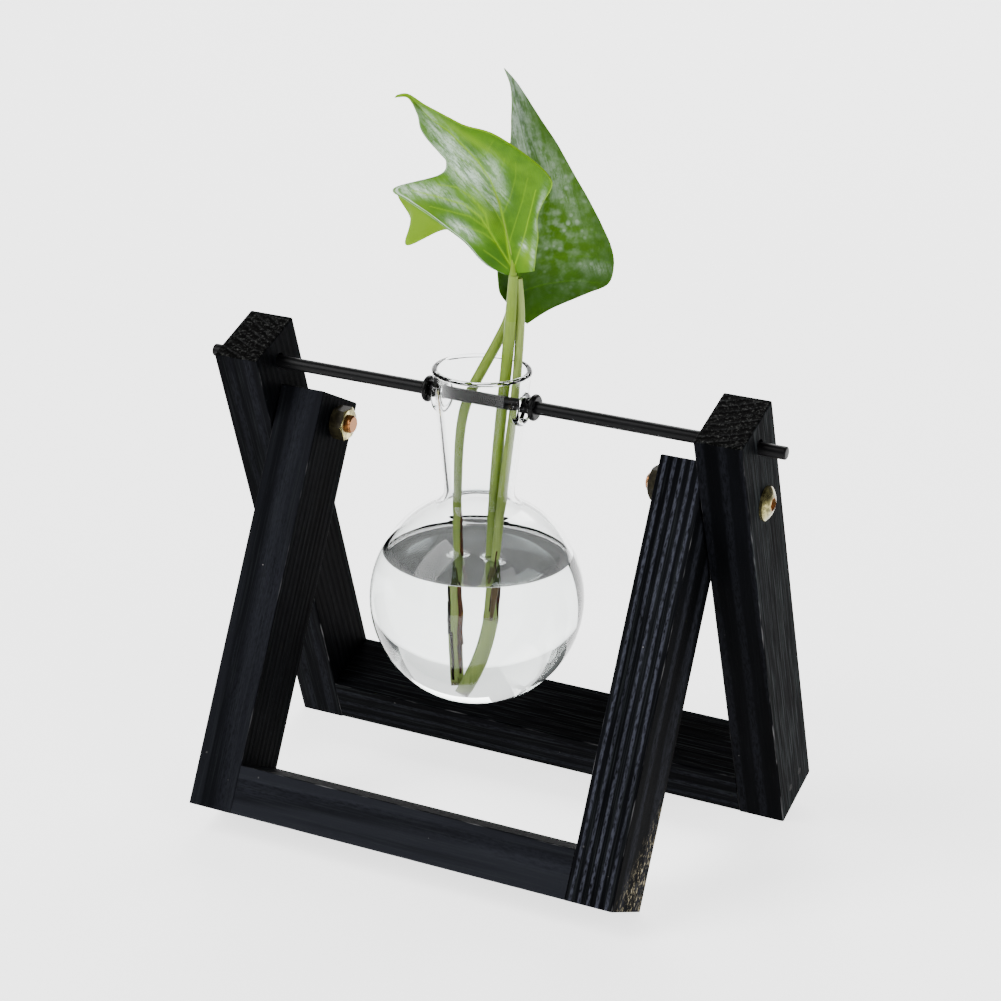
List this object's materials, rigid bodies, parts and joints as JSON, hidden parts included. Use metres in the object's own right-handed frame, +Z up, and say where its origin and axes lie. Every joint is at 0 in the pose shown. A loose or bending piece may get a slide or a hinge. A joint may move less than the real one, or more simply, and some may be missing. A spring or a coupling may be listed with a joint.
{
  "type": "hanging propagation vase on a folding stand",
  "caption": "Round glass bulb vase with a flared neck, hung on a steel rod between two folding wooden frames, holding a leafy cutting in water.",
  "frame": {"origin": "on the floor, in the middle of the footprint, which is also the middle of the rod's length", "axes": "+X along the rod to the right, +Y away from the front frame's side, +Z up"},
  "size_m": [0.203, 0.1262, 0.2464],
  "materials": {
    "black_wood": "satin black stain over open grain",
    "black_rod": "semi-gloss black",
    "pale_brass": "pale plated, smooth",
    "brad_steel": "dark, flush",
    "black_rubber": "glossy black",
    "clear_glass": "clear, polished",
    "green_stem": "waxy green",
    "green_leaf": "waxy, fine veins"
  },
  "bodies": {
    "back_frame": {"back_leg_left": "black_wood", "back_leg_right": "black_wood", "back_bar": "black_wood", "back_brads_left": "brad_steel", "back_brads_right": "brad_steel", "pivot_bolt_left": "pale_brass", "pivot_bolt_right": "pale_brass", "pivot_nut_left": "pale_brass", "pivot_nut_right": "pale_brass"},
    "front_frame": {"front_leg_left": "black_wood", "front_leg_right": "black_wood", "front_bar": "black_wood", "front_brads_left": "brad_steel", "front_brads_right": "brad_steel"},
    "rod": {"hanging_rod": "black_rod"},
    "vase": {"glass_vase": "clear_glass", "rubber_ring_left": "black_rubber", "rubber_ring_right": "black_rubber"},
    "cutting": {"stem_left": "green_stem", "stem_middle": "green_stem", "stem_right": "green_stem", "leaf_front": "green_leaf", "leaf_rear": "green_leaf"}
  },
  "joints": [
    {"name": "frame_fold", "type": "hinge", "parent": "back_frame", "child": "front_frame", "pos_m": [0, 0.00486, 0.12513], "axis": [1, 0, 0], "range_deg": [-75, 33]},
    {"name": "rod_slide", "type": "slide", "parent": "back_frame", "child": "rod", "axis": [1, 0, 0], "range_m": [-0.2, 0.2]},
    {"name": "vase_swing", "type": "hinge", "parent": "back_frame", "child": "vase", "pos_m": [0, -0.00295, 0.14538], "axis": [1, 0, 0], "range_deg": [-45, 45]},
    {"name": "cutting_lift", "type": "slide", "parent": "vase", "child": "cutting", "axis": [0, 0.1478, 0.989], "range_m": [0, 0.11]}
  ]
}
